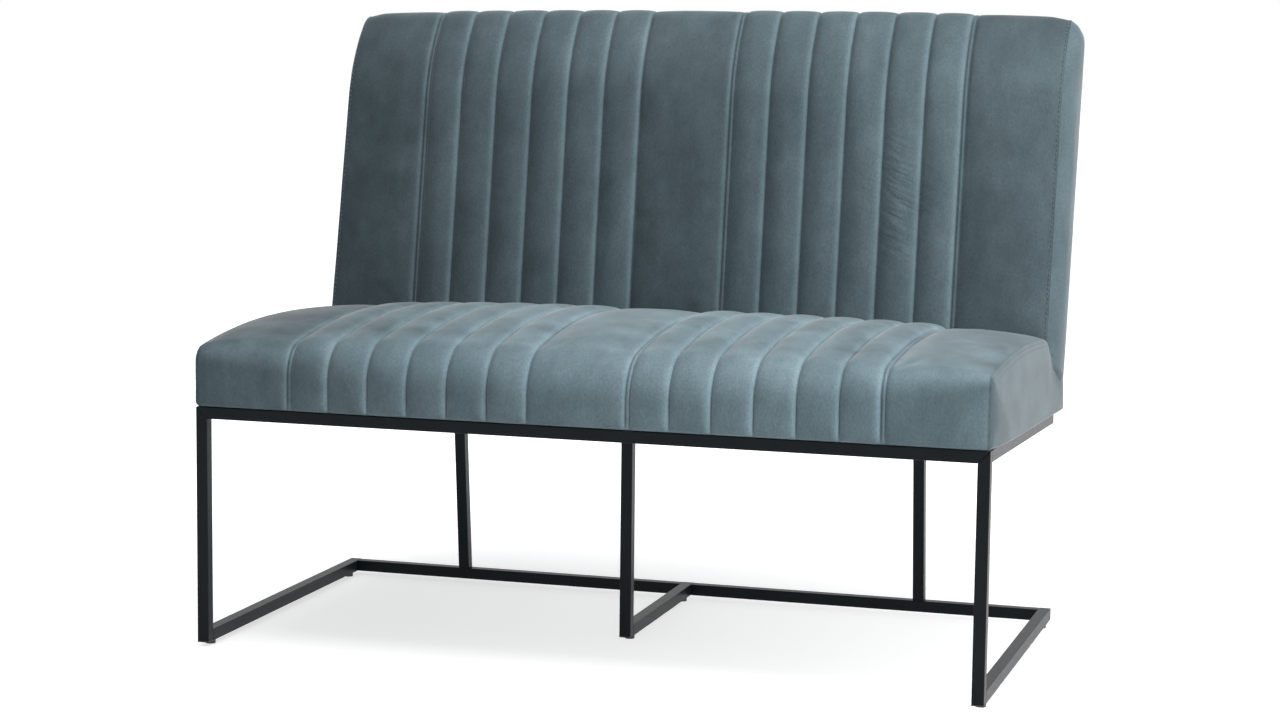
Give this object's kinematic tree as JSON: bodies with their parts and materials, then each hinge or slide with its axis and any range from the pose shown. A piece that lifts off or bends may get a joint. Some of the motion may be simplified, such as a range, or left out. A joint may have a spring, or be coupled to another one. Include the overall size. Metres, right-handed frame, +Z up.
{
  "type": "dining bench",
  "caption": "Upholstered dining bench with a leaning channel-sewn velvet back and seat on a welded black square-tube steel base.",
  "frame": {"origin": "under the middle of the bench's box, on the floor", "axes": "+X along the bench to the right seen from the front, +Y from the front edge of the seat to the back, +Z up"},
  "size_m": [1.228, 0.736, 0.9628],
  "materials": {
    "velvet": "slate blue velvet, short pile, over quilted filling",
    "powder_coat": "satin black powder coat on welded square tube",
    "black_plastic": "moulded black plastic",
    "zinc_steel": "zinc-plated steel",
    "wood": "sawn softwood and board",
    "webbing": "elastic webbing",
    "dust_cloth": "black non-woven cloth",
    "foam": "polyurethane foam"
  },
  "bodies": {
    "root": {"back_board": "wood", "back_bottom_rail": "wood", "back_brackets": "zinc_steel", "back_centre_panel": "velvet", "back_foam": "foam", "back_left_boxing": "velvet", "back_left_channels": "velvet", "back_left_panel": "velvet", "back_left_stile": "wood", "back_middle_stiles": "wood", "back_right_boxing": "velvet", "back_right_channels": "velvet", "back_right_panel": "velvet", "back_right_stile": "wood", "back_top_rail": "wood", "bracket_bolts": "zinc_steel", "bracket_washers": "zinc_steel", "dust_cover": "dust_cloth", "floor_glides": "black_plastic", "front_rail": "powder_coat", "left_floor_runner": "powder_coat", "left_front_leg": "powder_coat", "left_rear_floor_rail": "powder_coat", "left_rear_post": "powder_coat", "left_side_rail": "powder_coat", "leg_end_caps": "black_plastic", "middle_floor_runner": "powder_coat", "middle_leg": "powder_coat", "middle_seat_rail": "powder_coat", "mounting_tabs": "powder_coat", "outside_back_panel": "velvet", "rear_seat_rail": "powder_coat", "right_floor_runner": "powder_coat", "right_front_leg": "powder_coat", "right_rear_floor_rail": "powder_coat", "right_rear_post": "powder_coat", "right_side_rail": "powder_coat", "seat_bolts": "zinc_steel", "seat_centre_panel": "velvet", "seat_corner_blocks": "wood", "seat_cross_beams": "wood", "seat_foam": "foam", "seat_front_beam": "wood", "seat_left_beam": "wood", "seat_left_boxing": "velvet", "seat_left_channels": "velvet", "seat_left_panel": "velvet", "seat_rear_band": "velvet", "seat_rear_beam": "wood", "seat_right_beam": "wood", "seat_right_boxing": "velvet", "seat_right_channels": "velvet", "seat_right_panel": "velvet", "seat_washers": "zinc_steel", "seat_webbing": "webbing", "threaded_inserts": "zinc_steel", "tube_end_plugs": "black_plastic"}
  },
  "joints": []
}
